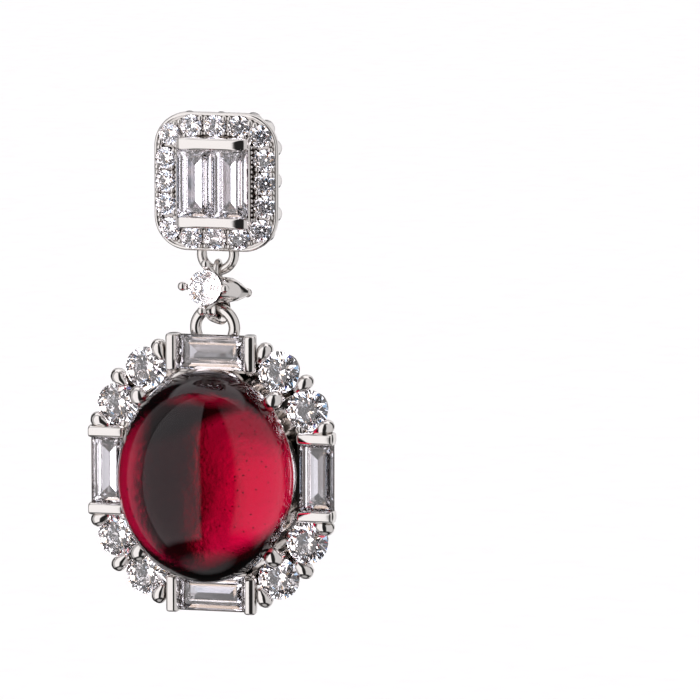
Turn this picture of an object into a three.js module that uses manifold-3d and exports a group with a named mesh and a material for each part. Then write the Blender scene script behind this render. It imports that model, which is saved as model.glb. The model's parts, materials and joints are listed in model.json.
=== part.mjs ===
// Drop earring: a square paved stud, a small stone link and an oval cabochon drop in a halo.
//
// Everything is modelled face on, in millimetres: X to the viewer's right, Y up and Z towards the
// viewer. The last group turns that upright, so that the finished part has +Z up and its front
// towards -Y, with the origin on the ear post's axis, where the post leaves the stud's flat back.

import * as THREE from 'three';
import { mergeVertices } from 'three/addons/utils/BufferGeometryUtils.js';
import Module from 'manifold-3d';

const wasm = await Module();
wasm.setup();

// ---------------------------------------------------------------- driving dimensions

const SEAT_GAP = 0.04; // clearance between a stone and the metal that holds it
const OVERLAP = 0.1; // how far joined solids reach into each other

const stud = {
  halfWidth: 3.56,
  halfHeight: 3.9,
  cornerRadius: 1.95,
  backPlate: 0.3, // thickness of the flat back
  backInset: 0.4, // how far the back lies inside the outline
  coreInset: 0.6, // and the wall between back and front
  ribRadius: 0.5,
  ribInset: 0.06,
  ribPitch: 1.85,
  ribBack: 0.5,
  frontPlateBack: 1.55,
  frontPlateFront: 2.1,
  edgeRounding: 0.2,
  boxHalfWidth: 2.2,
  boxHalfHeight: 2.46,
  boxFront: 2.86,
  boxCornerRadius: 0.1,
  barOverhang: 0.07, // how far a bar reaches over the baguettes' ends
  barWidth: 0.58,
  barLength: 4.12,
  barFront: 3.12,
  baguettePlane: 2.84,
};

const pave = {
  rowX: 2.88, // the two upright rows
  rowY: 3.17, // the two level rows
  pitchX: 1.38,
  pitchY: 1.3,
  cornerX: 2.64,
  cornerY: 2.66,
  seatRadius: 0.52,
  seatDepth: 0.5,
};

const baguettePair = { width: 2.0, halfLength: 2.0, offsetX: 1.02, hollowDepth: 1.0, hollowInset: 0.2 };

const post = { radius: 0.42, length: 10.4, socketDepth: 0.6, tip: 0.3 };

const studLoop = { meanRadius: 0.935, wireRadius: 0.285, centreY: -4.1, z: 1.5 };

const link = {
  stoneRadius: 1.0,
  stoneCentre: [-0.13, -0.685, 2.45], // from the stud loop's lowest wire
  lean: 11, // degrees that the stone looks up
  twist: 10, // degrees that the stone is turned to the viewer's left
  waistDepth: 1.45,
  backDepth: 2.95,
  waistRadius: 0.4,
  prongReach: 1.31,
  frontBeadZ: 0.12,
  prongFootRadius: 0.55,
  petalFoot: [0.3, -1.2], // a rear prong's wide foot: out from the axis, and depth
  petalFootRadius: 0.72,
  prongRadius: 0.16,
  beadRadius: 0.23,
  upperEyeWire: 0.16,
  lowerEyeWire: 0.2,
  upperEyeGap: 0.05,
  lowerEyeGap: 0.1,
  stemRadius: 0.22,
};

const bail = { meanRadius: 1.125, wireRadius: 0.325 }; // the drop's hanging ring

const drop = {
  bailToCentre: 9.285, // from the bail's top wire down to the cabochon's middle
  haloFront: 0.62, // halo plane in front of the bail's plane
  backZ: -1.75, // the rest is measured from the halo plane
  plateThickness: 0.45,
  plateHalfWidth: 5.95,
  plateHalfHeight: 6.75,
  plateSquareness: 2.6,
  seatDrop: 0.12, // the seats' upper edges lie this far behind the halo plane
  wallThickness: 0.5,
  wallInset: 0.05,
};

const cabochon = { halfWidth: 5, halfHeight: 6, height: 4.8, girdleZ: 1.06, squareness: 2.15 };

const rounds = {
  radius: 1.2,
  places: [[3.85, 5.85], [5.5, 3.75]], // one quadrant's two stones
  cupBackRadius: 0.8,
  holeRadius: 0.5,
};

const baguette = {
  width: 2.0,
  length: 3.86,
  sideX: 6.06,
  endY: 6.86,
  troughFrontInset: 0.12,
  troughBackInset: 0.75,
};

const bars = { width: 0.47, length: 2.06, front: 0.74, back: -0.45, offset: 2.165 };

const claws = {
  outer: [[3.14, 7.16], [5.5, 5.42], [6.72, 2.88]],
  outerRadius: 0.36,
  outerFront: 0.62,
  outerTip: 0.6, // height of the part above the shoulder
  outerFoot: 0.82, // share of a claw's reach at which it leaves the plate
  outerLean: 0.96, // and at which its tip ends
  inner: [[2.2, 5.86], [5.1, 2.62]],
  innerRadius: 0.3,
  innerFront: 0.35,
  cabochon: [3.98, 4.54],
  cabochonTip: [3.72, 4.24],
  cabochonRadius: 0.46,
  cabochonFront: 1.95,
  cabochonBend: 0.75, // height of the part above the bend
};

// ---------------------------------------------------------------- materials

const silver = () => new THREE.MeshStandardMaterial({ color: 0xd9d6d2, roughness: 0.15, metalness: 1 });
const clearStone = () => new THREE.MeshStandardMaterial({ color: 0xf1f0f6, roughness: 0.05, metalness: 0 });
const redStone = () => new THREE.MeshStandardMaterial({ color: 0xa3001c, roughness: 0.05, metalness: 0 });

// ---------------------------------------------------------------- solids and placing

const degrees = THREE.MathUtils.degToRad;

function solidOf(geometry) {
  const bare = geometry.clone();
  bare.deleteAttribute('normal');
  bare.deleteAttribute('uv');
  const merged = mergeVertices(bare, 1e-4);
  return new wasm.Manifold(new wasm.Mesh({
    numProp: 3,
    vertProperties: new Float32Array(merged.attributes.position.array),
    triVerts: new Uint32Array(merged.index.array),
  }));
}

function meshOf(solid, name, material) {
  const { vertProperties, triVerts } = solid.getMesh();
  const geometry = new THREE.BufferGeometry();
  geometry.setAttribute('position', new THREE.BufferAttribute(vertProperties, 3));
  geometry.setIndex(new THREE.BufferAttribute(triVerts, 1));
  geometry.computeVertexNormals();
  return meshFrom(geometry, name, material);
}

function meshFrom(geometry, name, material) {
  const mesh = new THREE.Mesh(geometry, material);
  mesh.name = name;
  return mesh;
}

const joined = (solids) => solids.reduce((sum, solid) => sum.add(solid));

const moved = (geometry, x, y, z) => geometry.clone().translate(x, y, z);

// The four mirror images of one place: right and left, up and down.
const quadrants = ([x, y]) => [[x, y], [-x, y], [x, -y], [-x, -y]];

// ---------------------------------------------------------------- plain shapes

function roundedRectangle(halfWidth, halfHeight, radius) {
  const shape = new THREE.Shape();
  shape.absarc(halfWidth - radius, halfHeight - radius, radius, 0, Math.PI / 2);
  shape.absarc(radius - halfWidth, halfHeight - radius, radius, Math.PI / 2, Math.PI);
  shape.absarc(radius - halfWidth, radius - halfHeight, radius, Math.PI, Math.PI * 1.5);
  shape.absarc(halfWidth - radius, radius - halfHeight, radius, Math.PI * 1.5, Math.PI * 2);
  return shape;
}

// A slab from back to front; with a rounding, both edges lose that much.
function slab(shape, back, front, rounding = 0, curveSegments = 5) {
  return new THREE.ExtrudeGeometry(shape, {
    depth: front - back - 2 * rounding,
    bevelEnabled: rounding > 0,
    bevelThickness: rounding,
    bevelSize: rounding,
    bevelOffset: -rounding,
    bevelSegments: 1,
    curveSegments,
  }).translate(0, 0, back + rounding);
}

function superellipse(halfWidth, halfHeight, squareness, sides) {
  const power = 2 / squareness;
  const points = [];
  for (let i = 0; i < sides; i += 1) {
    const angle = (i / sides) * Math.PI * 2;
    const x = Math.sign(Math.cos(angle)) * Math.abs(Math.cos(angle)) ** power;
    const y = Math.sign(Math.sin(angle)) * Math.abs(Math.sin(angle)) ** power;
    points.push(new THREE.Vector2(halfWidth * x, halfHeight * y));
  }
  return new THREE.Shape(points);
}

function upright(radius, back, front, sides = 12) {
  const rod = new THREE.CylinderGeometry(radius, radius, front - back, sides);
  return rod.rotateX(Math.PI / 2).translate(0, 0, (back + front) / 2);
}

// A straight rod between two points, thinner at its end if asked.
function rodBetween(start, end, startRadius, endRadius = startRadius, sides = 8) {
  const from = new THREE.Vector3(...start);
  const along = new THREE.Vector3(...end).sub(from);
  const rod = new THREE.CylinderGeometry(endRadius, startRadius, along.length(), sides);
  rod.translate(0, along.length() / 2, 0);
  const turn = new THREE.Quaternion().setFromUnitVectors(new THREE.Vector3(0, 1, 0), along.normalize());
  return rod.applyQuaternion(turn).translate(from.x, from.y, from.z);
}

function bead(radius, x, y, z) {
  return new THREE.SphereGeometry(radius, 8, 4).rotateX(Math.PI / 2).translate(x, y, z);
}

// A bar that lies along X and stands up in Z, with a round top.
function roundTopBar(length, width, back, front) {
  const half = width / 2;
  const shape = new THREE.Shape();
  shape.moveTo(-half, back);
  shape.lineTo(half, back);
  shape.absarc(0, front - half, half, 0, Math.PI);
  const bar = new THREE.ExtrudeGeometry(shape, { depth: length, bevelEnabled: false, curveSegments: 6 });
  return bar.rotateX(Math.PI / 2).rotateZ(Math.PI / 2).translate(-length / 2, 0, 0);
}

// ---------------------------------------------------------------- stones

function polyhedron(points, faces) {
  const geometry = new THREE.BufferGeometry();
  geometry.setAttribute('position', new THREE.Float32BufferAttribute(points.flat(), 3));
  const fan = (face) => face.slice(2).flatMap((_, i) => [face[0], face[i + 1], face[i + 2]]);
  geometry.setIndex(faces.flatMap(fan));
  return geometry;
}

// Round brilliant: table, stars, kites, upper and lower girdle facets and pavilion mains.
function brilliant(radius) {
  const table = 0.56 * radius;
  const tableZ = 0.33 * radius;
  const girdle = 0.025 * radius;
  const culetZ = -0.86 * radius;
  const starRadius = 0.78 * radius;
  const lowerRadius = 0.24 * radius;
  const step = Math.PI / 8;
  const mid = Math.cos(step);
  const starZ = tableZ - ((tableZ - girdle) * (starRadius * mid - table)) / (radius - table);
  const lowerZ = culetZ + ((-girdle - culetZ) * lowerRadius * mid) / radius;
  const points = [];
  const ring = (count, r, z, turn) => {
    const first = points.length;
    for (let i = 0; i < count; i += 1) {
      const angle = (i * 2 * Math.PI) / count + turn;
      points.push([r * Math.cos(angle), r * Math.sin(angle), z]);
    }
    return (i) => first + ((i + count) % count);
  };
  const t = ring(8, table, tableZ, 0);
  const s = ring(8, starRadius, starZ, step);
  const g = ring(16, radius, girdle, 0);
  const b = ring(16, radius, -girdle, 0);
  const p = ring(8, lowerRadius, lowerZ, step);
  const culet = points.push([0, 0, culetZ]) - 1;
  const faces = [[0, 1, 2, 3, 4, 5, 6, 7].map(t)];
  for (let i = 0; i < 8; i += 1) {
    faces.push([t(i), s(i), t(i + 1)]);
    faces.push([t(i), s(i - 1), g(2 * i), s(i)]);
    faces.push([s(i), g(2 * i), g(2 * i + 1)]);
    faces.push([s(i), g(2 * i + 1), g(2 * i + 2)]);
    faces.push([p(i), b(2 * i + 1), b(2 * i)]);
    faces.push([p(i), b(2 * i + 2), b(2 * i + 1)]);
    faces.push([culet, p(i), b(2 * i), p(i - 1)]);
  }
  for (let i = 0; i < 16; i += 1) {
    faces.push([b(i), b(i + 1), g(i + 1), g(i)]);
  }
  return polyhedron(points, faces);
}

// What the metal is cut back by round a brilliant: its outline with a gap, open to the back.
function roundSeatCut(radius, backRadius, back) {
  const sides = 12;
  const clear = (radius + SEAT_GAP) / Math.cos(Math.PI / sides);
  const profile = [
    [0, 0.33 * radius + SEAT_GAP],
    [0.66 * radius, 0.33 * radius + SEAT_GAP],
    [clear, 0.05 * radius + SEAT_GAP],
    [clear, -0.025 * radius - SEAT_GAP],
    [backRadius, -0.86 * (radius - backRadius) - 3 * SEAT_GAP],
    [backRadius, back],
    [0, back],
  ].map(([r, z]) => new THREE.Vector2(r, z)).reverse();
  return new THREE.LatheGeometry(profile, sides).rotateX(Math.PI / 2);
}

// Step cut, long side along Y: each row insets the rectangle, and the last two points are the keel.
function stepCut(width, length, grow = 0) {
  const rows = [
    { inset: 0.42, z: 0.34 },
    { inset: 0.2, z: 0.24 },
    { inset: 0, z: 0.04 },
    { inset: 0, z: -0.04 },
    { inset: 0.25, z: -0.36 },
    { inset: 0.6, z: -0.66 },
  ];
  const keelZ = -0.82;
  const points = [];
  rows.forEach(({ inset, z }) => {
    const x = width / 2 - inset + grow;
    const y = length / 2 - inset + grow;
    points.push([x, y, z + Math.sign(z) * grow], [-x, y, z + Math.sign(z) * grow]);
    points.push([-x, -y, z + Math.sign(z) * grow], [x, -y, z + Math.sign(z) * grow]);
  });
  const keelHalf = length / 2 - width / 2;
  const keel = points.push([0, keelHalf, keelZ - grow], [0, -keelHalf, keelZ - grow]) - 2;
  const faces = [[0, 1, 2, 3]];
  for (let row = 0; row < rows.length - 1; row += 1) {
    for (let i = 0; i < 4; i += 1) {
      const j = (i + 1) % 4;
      faces.push([4 * row + i, 4 * row + 4 + i, 4 * row + 4 + j, 4 * row + j]);
    }
  }
  const last = 4 * (rows.length - 1);
  faces.push([last, keel, last + 1], [last + 2, keel + 1, last + 3]);
  faces.push([last + 1, keel, keel + 1, last + 2], [last + 3, keel + 1, keel, last]);
  return polyhedron(points, faces);
}

// Domed oval: a lathe profile of unit radius, turned to face +Z and stretched to the oval.
function domedOval(grow = 0) {
  const steps = 8;
  const edge = 0.18;
  const profile = [new THREE.Vector2(0, -grow), new THREE.Vector2(0.97, -grow), new THREE.Vector2(1, edge)];
  for (let i = 1; i < steps; i += 1) {
    const angle = (i / steps) * (Math.PI / 2);
    const r = Math.cos(angle) ** (2 / cabochon.squareness);
    const z = edge + (cabochon.height - edge) * Math.sin(angle) ** (2 / cabochon.squareness);
    profile.push(new THREE.Vector2(r, z));
  }
  profile.push(new THREE.Vector2(0, cabochon.height + grow));
  const dome = new THREE.LatheGeometry(profile, 36).rotateX(Math.PI / 2);
  return dome.scale(cabochon.halfWidth + grow, cabochon.halfHeight + grow, 1);
}

// ---------------------------------------------------------------- stud

function pavePlaces() {
  const places = quadrants([pave.cornerX, pave.cornerY]);
  [-1, 0, 1].forEach((i) => {
    places.push([i * pave.pitchX, pave.rowY], [i * pave.pitchX, -pave.rowY]);
    places.push([pave.rowX, i * pave.pitchY], [-pave.rowX, i * pave.pitchY]);
  });
  return places;
}

function galleryRibs() {
  const inset = stud.ribRadius + stud.ribInset;
  const x = stud.halfWidth - inset;
  const y = stud.halfHeight - inset;
  const cornerReach = (stud.cornerRadius - inset) * Math.SQRT1_2;
  const cornerX = stud.halfWidth - stud.cornerRadius + cornerReach;
  const cornerY = stud.halfHeight - stud.cornerRadius + cornerReach;
  const places = quadrants([cornerX, cornerY]);
  [-1, 0, 1].forEach((i) => {
    places.push([i * stud.ribPitch, y], [i * stud.ribPitch, -y]);
    places.push([x, i * stud.ribPitch], [-x, i * stud.ribPitch]);
  });
  const rib = upright(stud.ribRadius, stud.ribBack, stud.frontPlateBack + OVERLAP, 8);
  return places.map(([px, py]) => solidOf(moved(rib, px, py, 0)));
}

function studPlates() {
  const { halfWidth, halfHeight, cornerRadius } = stud;
  const outline = (by) => roundedRectangle(halfWidth - by, halfHeight - by, cornerRadius - by / 2);
  return [
    solidOf(slab(outline(stud.backInset), 0, stud.backPlate)),
    solidOf(slab(outline(stud.coreInset), 0, stud.frontPlateBack + OVERLAP)),
    solidOf(slab(outline(0), stud.frontPlateBack, stud.frontPlateFront, stud.edgeRounding, 6)),
  ];
}

function studBox() {
  const back = stud.frontPlateBack + OVERLAP;
  const outline = roundedRectangle(stud.boxHalfWidth, stud.boxHalfHeight, stud.boxCornerRadius);
  const wall = slab(outline, back, stud.boxFront, 0, 2);
  const bar = roundTopBar(stud.barLength, stud.barWidth, back, stud.barFront);
  const barY = baguettePair.halfLength - stud.barOverhang + stud.barWidth / 2;
  return [solidOf(wall), solidOf(moved(bar, 0, barY, 0)), solidOf(moved(bar, 0, -barY, 0))];
}

function studFrame() {
  const loop = new THREE.TorusGeometry(studLoop.meanRadius, studLoop.wireRadius, 8, 28);
  const metal = joined([
    ...studPlates(),
    ...galleryRibs(),
    ...studBox(),
    solidOf(moved(loop, 0, studLoop.centreY, studLoop.z)),
  ]);
  const front = stud.frontPlateFront;
  const seat = upright(pave.seatRadius, front - pave.seatDepth, front + OVERLAP, 8);
  const hollow = new THREE.BoxGeometry(
    2 * (baguettePair.offsetX + baguettePair.width / 2 + SEAT_GAP),
    2 * (baguettePair.halfLength - baguettePair.hollowInset),
    2 * baguettePair.hollowDepth,
  ).translate(0, 0, stud.baguettePlane);
  const socket = upright(post.radius + SEAT_GAP, -OVERLAP, post.socketDepth + SEAT_GAP, 16);
  const cuts = [
    ...pavePlaces().map(([x, y]) => solidOf(moved(seat, x, y, 0))),
    ...studBaguettePlaces().map(([x]) => solidOf(moved(studBaguette(SEAT_GAP), x, 0, stud.baguettePlane))),
    solidOf(hollow),
    solidOf(socket),
  ];
  return meshOf(cuts.reduce((left, cut) => left.subtract(cut), metal), 'stud_frame', silver());
}

const studBaguette = (grow = 0) => stepCut(baguettePair.width, 2 * baguettePair.halfLength, grow);

const studBaguettePlaces = () => [
  [-baguettePair.offsetX, 'stud_baguette_left'],
  [baguettePair.offsetX, 'stud_baguette_right'],
];

function earPost() {
  const profile = [
    new THREE.Vector2(0, 0),
    new THREE.Vector2(post.radius, 0),
    new THREE.Vector2(post.radius, post.length - post.tip),
    new THREE.Vector2(post.radius * 0.6, post.length - post.tip / 4),
    new THREE.Vector2(0, post.length),
  ];
  const pin = new THREE.LatheGeometry(profile, 20).rotateX(-Math.PI / 2);
  return meshFrom(pin.translate(0, 0, post.socketDepth), 'ear_post', silver());
}

function makeStud() {
  const group = new THREE.Group();
  group.add(studFrame(), earPost());
  studBaguettePlaces().forEach(([x, name]) => {
    const stone = meshFrom(studBaguette(), name, clearStone());
    stone.position.set(x, 0, stud.baguettePlane);
    group.add(stone);
  });
  return group;
}

// ---------------------------------------------------------------- link

const lowerEyeCentre = [0, -2.05, 0.67]; // from the stud loop's lowest wire

function placeInBasket(geometry) {
  return geometry.clone()
    .rotateX(degrees(-link.lean))
    .rotateY(degrees(-link.twist))
    .translate(...link.stoneCentre);
}

// Two cups back to back on one waist; the front one holds the stone.
function basketCups() {
  const waist = -link.waistDepth;
  const profile = [
    [0, waist + 0.15],
    [0.3, waist + 0.3],
    [0.76, -0.3],
    [0.9, -0.3],
    [link.waistRadius, waist],
    [0.56, waist - 0.75],
    [0.44, waist - 0.75],
    [0.2, waist - 0.2],
    [0, waist - 0.15],
  ].map(([r, z]) => new THREE.Vector2(r, z)).reverse();
  return new THREE.LatheGeometry(profile, 12).rotateX(Math.PI / 2);
}

function basketProngs() {
  const parts = [];
  const addProng = (angle, [footReach, footZ], footRadius, tipZ) => {
    const at = (reach, z) => [Math.cos(angle) * reach, Math.sin(angle) * reach, z];
    const tip = at(link.prongReach, tipZ);
    parts.push(rodBetween(at(footReach, footZ), tip, footRadius, link.prongRadius));
    parts.push(bead(link.beadRadius, ...tip));
  };
  const frontFoot = [0, OVERLAP - link.waistDepth];
  [0, 0.5, 1, 1.5].forEach((turn) => {
    addProng(turn * Math.PI, frontFoot, link.prongFootRadius, link.frontBeadZ);
  });
  [0, 1].forEach((turn) => {
    addProng(turn * Math.PI, link.petalFoot, link.petalFootRadius, -link.backDepth);
  });
  return parts;
}

function eye(centre, holeRadius, wireRadius) {
  const ring = new THREE.TorusGeometry(holeRadius + wireRadius, wireRadius, 8, 16);
  return ring.rotateY(Math.PI / 2).translate(...centre);
}

function eyeStem(centre, holeRadius, wireRadius, waist) {
  const from = new THREE.Vector3(...centre);
  const foot = waist.clone().sub(from).setLength(holeRadius + wireRadius).add(from);
  return rodBetween(foot.toArray(), waist.toArray(), wireRadius, link.stemRadius);
}

function linkSetting() {
  const waist = new THREE.BufferGeometry().setFromPoints([new THREE.Vector3(0, 0, -link.waistDepth)]);
  const waistPoint = new THREE.Vector3().fromBufferAttribute(placeInBasket(waist).attributes.position, 0);
  const upperHole = studLoop.wireRadius + link.upperEyeGap;
  const lowerHole = bail.wireRadius + link.lowerEyeGap;
  const metal = joined([
    ...[basketCups(), ...basketProngs()].map((geometry) => solidOf(placeInBasket(geometry))),
    solidOf(eye([0, 0, 0], upperHole, link.upperEyeWire)),
    solidOf(eyeStem([0, 0, 0], upperHole, link.upperEyeWire, waistPoint)),
    solidOf(eye(lowerEyeCentre, lowerHole, link.lowerEyeWire)),
    solidOf(eyeStem(lowerEyeCentre, lowerHole, link.lowerEyeWire, waistPoint)),
  ]);
  const seat = solidOf(placeInBasket(roundSeatCut(link.stoneRadius, 0.1, -0.9 * link.stoneRadius)));
  return meshOf(metal.subtract(seat), 'link_setting', silver());
}

function makeLink() {
  const group = new THREE.Group();
  group.position.set(0, studLoop.centreY - studLoop.meanRadius, studLoop.z);
  const stone = placeInBasket(brilliant(link.stoneRadius));
  group.add(linkSetting(), meshFrom(stone, 'link_stone', clearStone()));
  return group;
}

// ---------------------------------------------------------------- drop

function dropPlate() {
  const outline = superellipse(drop.plateHalfWidth, drop.plateHalfHeight, drop.plateSquareness, 40);
  return slab(outline, drop.backZ, drop.backZ + drop.plateThickness);
}

function ovalWall(inset, back, front) {
  const oval = superellipse(cabochon.halfWidth - inset, cabochon.halfHeight - inset, 2, 36);
  return slab(oval, back, front);
}

function roundCups() {
  const back = drop.backZ + OVERLAP;
  const front = -drop.seatDrop;
  const cup = new THREE.CylinderGeometry(rounds.radius - 0.1, rounds.cupBackRadius, front - back, 12);
  cup.rotateX(Math.PI / 2).translate(0, 0, (back + front) / 2);
  return roundPlaces().map(({ x, y }) => solidOf(moved(cup, x, y, 0)));
}

// The eight round stones, numbered clockwise from the top as seen from the front.
function roundPlaces() {
  const places = rounds.places.flatMap(quadrants).map(([x, y]) => ({ x, y }));
  const clock = ({ x, y }) => (Math.atan2(x, y) + 2 * Math.PI) % (2 * Math.PI);
  places.sort((a, b) => clock(a) - clock(b));
  return places.map((place, i) => ({ ...place, name: `drop_round_${i + 1}` }));
}

// Each turn brings a baguette's outer long side, +X, to the outside of the halo.
const baguettePlaces = () => [
  { name: 'drop_baguette_top', x: 0, y: baguette.endY, turn: Math.PI / 2 },
  { name: 'drop_baguette_right', x: baguette.sideX, y: 0, turn: 0 },
  { name: 'drop_baguette_bottom', x: 0, y: -baguette.endY, turn: -Math.PI / 2 },
  { name: 'drop_baguette_left', x: -baguette.sideX, y: 0, turn: Math.PI },
];

// Trough under a baguette, drawn in towards the back on its outer side, with its two upright bars.
function baguetteSeats() {
  const back = drop.backZ + OVERLAP;
  const half = baguette.width / 2;
  const inner = -half - 0.2; // runs into the wall under the cabochon
  const section = new THREE.Shape();
  section.moveTo(inner, back);
  section.lineTo(half - baguette.troughBackInset, back);
  section.lineTo(half - baguette.troughFrontInset, -drop.seatDrop);
  section.lineTo(inner, -drop.seatDrop);
  const length = 2 * bars.offset;
  const trough = new THREE.ExtrudeGeometry(section, { depth: length, bevelEnabled: false });
  trough.rotateX(Math.PI / 2).translate(0, length / 2, 0);
  const bar = roundTopBar(bars.length, bars.width, bars.back, bars.front);
  const pieces = [trough, moved(bar, 0, bars.offset, 0), moved(bar, 0, -bars.offset, 0)];
  return baguettePlaces().flatMap(({ x, y, turn }) => (
    pieces.map((piece) => solidOf(moved(piece.clone().rotateZ(turn), x, y, 0)))
  ));
}

// A prong that leans out to its shoulder and back in over the stones, cut off blunt.
function outerClaws() {
  const { outerRadius: radius, outerFront: front, outerFoot: foot, outerLean: lean } = claws;
  return claws.outer.flatMap(quadrants).flatMap(([x, y]) => {
    const shoulder = [x, y, front - claws.outerTip];
    const neck = [x, y, shoulder[2] - OVERLAP / 5];
    return [
      solidOf(rodBetween([x * foot, y * foot, drop.backZ + OVERLAP], shoulder, radius * 0.8, radius, 6)),
      solidOf(rodBetween(neck, [x * lean, y * lean, front], radius, radius * 0.5, 6)),
    ];
  });
}

function innerBeads() {
  const beadZ = claws.innerFront - claws.innerRadius;
  const stalk = upright(claws.innerRadius * 0.85, drop.backZ + OVERLAP, beadZ, 6);
  return claws.inner.flatMap(quadrants).flatMap(([x, y]) => [
    solidOf(moved(stalk, x, y, 0)),
    solidOf(bead(claws.innerRadius, x, y, beadZ)),
  ]);
}

function cabochonClaws() {
  const radius = claws.cabochonRadius;
  const tips = quadrants(claws.cabochonTip);
  return quadrants(claws.cabochon).flatMap(([x, y], i) => {
    const shoulder = [x, y, claws.cabochonFront - claws.cabochonBend];
    const neck = [x, y, shoulder[2] - OVERLAP / 2];
    const tip = [...tips[i], claws.cabochonFront - radius];
    return [
      solidOf(rodBetween([x, y, drop.backZ + OVERLAP], shoulder, radius * 0.8, radius)),
      solidOf(rodBetween(neck, tip, radius, radius * 0.9)),
      solidOf(bead(radius * 0.95, ...tip)),
    ];
  });
}

function stoneSeats() {
  const clear = drop.backZ - OVERLAP;
  const roundSeat = roundSeatCut(rounds.radius, rounds.holeRadius, clear);
  const baguetteBack = new THREE.BoxGeometry(baguette.width - 1, baguette.length - 1, 2);
  baguetteBack.translate(0, 0, clear + 1);
  return [
    ...roundPlaces().map(({ x, y }) => solidOf(moved(roundSeat, x, y, 0))),
    ...baguettePlaces().flatMap(({ x, y, turn }) => [
      solidOf(moved(stepCut(baguette.width, baguette.length, SEAT_GAP).rotateZ(turn), x, y, 0)),
      solidOf(moved(baguetteBack.clone().rotateZ(turn), x, y, 0)),
    ]),
    solidOf(moved(domedOval(SEAT_GAP), 0, 0, cabochon.girdleZ)),
  ];
}

function dropFrame() {
  const ring = new THREE.TorusGeometry(bail.meanRadius, bail.wireRadius, 8, 32);
  const ringY = drop.bailToCentre - bail.meanRadius;
  const wallInner = drop.wallInset + drop.wallThickness;
  const body = joined([
    solidOf(dropPlate()),
    ...roundCups(),
    ...baguetteSeats(),
    solidOf(ovalWall(drop.wallInset, drop.backZ, cabochon.girdleZ - SEAT_GAP)),
    ...outerClaws(),
    ...innerBeads(),
    ...cabochonClaws(),
    solidOf(moved(ring, 0, ringY, -drop.haloFront)),
  ]);
  const window = solidOf(ovalWall(wallInner, drop.backZ - 1, cabochon.girdleZ + 1));
  const metal = stoneSeats().reduce((left, cut) => left.subtract(cut), body.subtract(window));
  return meshOf(metal, 'drop_frame', silver());
}

function makeDrop() {
  const group = new THREE.Group();
  group.add(dropFrame());
  const stone = meshFrom(domedOval(), 'cabochon', redStone());
  stone.position.z = cabochon.girdleZ;
  group.add(stone);
  roundPlaces().forEach(({ name, x, y }) => {
    const round = meshFrom(brilliant(rounds.radius), name, clearStone());
    round.position.set(x, y, 0);
    group.add(round);
  });
  baguettePlaces().forEach(({ name, x, y, turn }) => {
    const stepStone = meshFrom(stepCut(baguette.width, baguette.length), name, clearStone());
    stepStone.rotation.z = turn;
    stepStone.position.set(x, y, 0);
    group.add(stepStone);
  });
  return group;
}

// ---------------------------------------------------------------- the earring

const faceOn = new THREE.Group();
const linkGroup = makeLink();
const dropGroup = makeDrop();
dropGroup.position.set(0, lowerEyeCentre[1] - drop.bailToCentre, lowerEyeCentre[2] + drop.haloFront);
dropGroup.position.add(linkGroup.position);
faceOn.add(makeStud(), linkGroup, dropGroup);
faceOn.rotation.x = Math.PI / 2;

const earring = new THREE.Group();
earring.add(faceOn);

export default earring;
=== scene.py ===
import json
import math
import bmesh
import bpy
from mathutils import Matrix, Vector


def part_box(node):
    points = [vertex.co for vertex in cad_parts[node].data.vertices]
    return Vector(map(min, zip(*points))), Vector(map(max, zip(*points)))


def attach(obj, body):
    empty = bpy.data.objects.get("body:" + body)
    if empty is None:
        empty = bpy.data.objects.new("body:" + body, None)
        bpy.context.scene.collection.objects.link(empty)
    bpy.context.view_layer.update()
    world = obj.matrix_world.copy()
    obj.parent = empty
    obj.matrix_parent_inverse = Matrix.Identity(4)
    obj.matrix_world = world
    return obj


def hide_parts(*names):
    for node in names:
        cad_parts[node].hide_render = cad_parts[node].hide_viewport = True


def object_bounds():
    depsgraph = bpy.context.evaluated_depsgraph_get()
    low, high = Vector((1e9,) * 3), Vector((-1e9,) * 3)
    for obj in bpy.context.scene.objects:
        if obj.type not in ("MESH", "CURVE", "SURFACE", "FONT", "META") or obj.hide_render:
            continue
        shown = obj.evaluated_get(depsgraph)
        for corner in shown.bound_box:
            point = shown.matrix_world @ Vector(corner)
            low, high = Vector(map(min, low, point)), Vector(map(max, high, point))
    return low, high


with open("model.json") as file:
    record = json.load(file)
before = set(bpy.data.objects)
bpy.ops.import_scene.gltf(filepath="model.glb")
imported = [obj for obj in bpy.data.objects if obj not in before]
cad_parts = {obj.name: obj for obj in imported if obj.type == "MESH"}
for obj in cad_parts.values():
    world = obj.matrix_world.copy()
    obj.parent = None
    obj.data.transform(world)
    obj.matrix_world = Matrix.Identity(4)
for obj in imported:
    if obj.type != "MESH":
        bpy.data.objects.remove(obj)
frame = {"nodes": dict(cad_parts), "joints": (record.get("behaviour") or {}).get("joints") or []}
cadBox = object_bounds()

# Drop earring: silver settings, clear zirconia and a red cabochon. Each body is drawn face on in
# millimetres (x right, y up, z towards the viewer) and then stood up in the row frame.
mm = 0.001
faceOn = Matrix(((1, 0, 0), (0, 0, -1), (0, 1, 0))).to_4x4() @ Matrix.Scale(mm, 4)
hinge = {joint["name"]: Vector(joint["pos_m"]) for joint in frame["joints"]}
stoneLow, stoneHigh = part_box("cabochon")
roundLow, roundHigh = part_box("drop_round_1")
haloPlane = roundLow.y + 0.33 * (roundHigh.x - roundLow.x) / 2  # a brilliant's crown is 0.33 of its radius
centres = {
    "stud": Vector((0, 0, 0)),
    "link": hinge["link_swing"],
    "drop": Vector((0, haloPlane, (stoneLow.z + stoneHigh.z) / 2)),
}


# drawing solids: every shape is a closed skin over rings of points

def turns(sides):
    return [2 * math.pi * i / sides for i in range(sides)]


def circle(radius, z, sides=32):
    if radius == 0:
        return [Vector((0, 0, z))]
    return [Vector((radius * math.cos(a), radius * math.sin(a), z)) for a in turns(sides)]


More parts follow.
